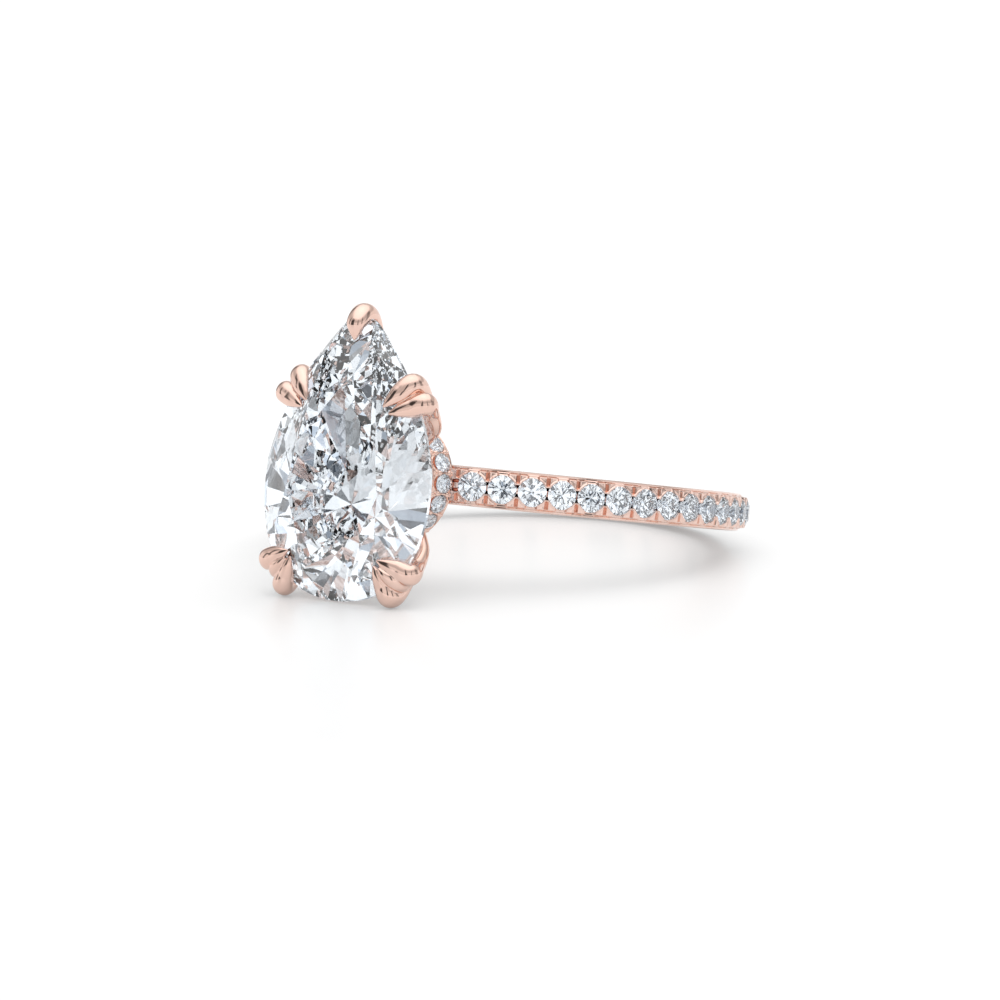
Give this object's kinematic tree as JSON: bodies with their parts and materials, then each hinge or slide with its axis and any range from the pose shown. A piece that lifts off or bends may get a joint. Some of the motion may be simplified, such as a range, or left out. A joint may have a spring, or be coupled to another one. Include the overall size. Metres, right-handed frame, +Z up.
{
  "type": "engagement ring",
  "caption": "Rose gold engagement ring with a pear-cut centre stone in double claws, a hidden collar of small stones under it and stone-set shoulders.",
  "frame": {"origin": "centre of the box's bottom face, on the surface the ring lies on", "axes": "+Z up as the ring lies; -Y towards the head with the pear stone; the finger hole's axis leans 10.9 degrees from +Z towards +Y; the stone's point is on the upper side"},
  "size_m": [0.0204, 0.0246, 0.0121],
  "materials": {
    "rose_gold": "high polish rose gold",
    "centre_diamond": "polished diamond",
    "small_diamonds": "polished diamond"
  },
  "bodies": {
    "root": {"band_stone_left_01": "small_diamonds", "band_stone_left_02": "small_diamonds", "band_stone_left_03": "small_diamonds", "band_stone_left_04": "small_diamonds", "band_stone_left_05": "small_diamonds", "band_stone_left_06": "small_diamonds", "band_stone_left_07": "small_diamonds", "band_stone_left_08": "small_diamonds", "band_stone_left_09": "small_diamonds", "band_stone_left_10": "small_diamonds", "band_stone_left_11": "small_diamonds", "band_stone_left_12": "small_diamonds", "band_stone_left_13": "small_diamonds", "band_stone_left_14": "small_diamonds", "band_stone_left_15": "small_diamonds", "band_stone_right_01": "small_diamonds", "band_stone_right_02": "small_diamonds", "band_stone_right_03": "small_diamonds", "band_stone_right_04": "small_diamonds", "band_stone_right_05": "small_diamonds", "band_stone_right_06": "small_diamonds", "band_stone_right_07": "small_diamonds", "band_stone_right_08": "small_diamonds", "band_stone_right_09": "small_diamonds", "band_stone_right_10": "small_diamonds", "band_stone_right_11": "small_diamonds", "band_stone_right_12": "small_diamonds", "band_stone_right_13": "small_diamonds", "band_stone_right_14": "small_diamonds", "band_stone_right_15": "small_diamonds", "centre_stone": "centre_diamond", "claw_lower_left": "rose_gold", "claw_lower_right": "rose_gold", "claw_tip": "rose_gold", "claw_upper_left": "rose_gold", "claw_upper_right": "rose_gold", "collar_stone_01": "small_diamonds", "collar_stone_02": "small_diamonds", "collar_stone_03": "small_diamonds", "collar_stone_04": "small_diamonds", "collar_stone_05": "small_diamonds", "collar_stone_06": "small_diamonds", "collar_stone_07": "small_diamonds", "collar_stone_08": "small_diamonds", "collar_stone_09": "small_diamonds", "collar_stone_10": "small_diamonds", "collar_stone_11": "small_diamonds", "collar_stone_12": "small_diamonds", "collar_stone_13": "small_diamonds", "collar_stone_14": "small_diamonds", "collar_stone_15": "small_diamonds", "collar_stone_16": "small_diamonds", "collar_stone_17": "small_diamonds", "collar_stone_18": "small_diamonds", "halo_collar": "rose_gold", "shank": "rose_gold"}
  },
  "joints": []
}
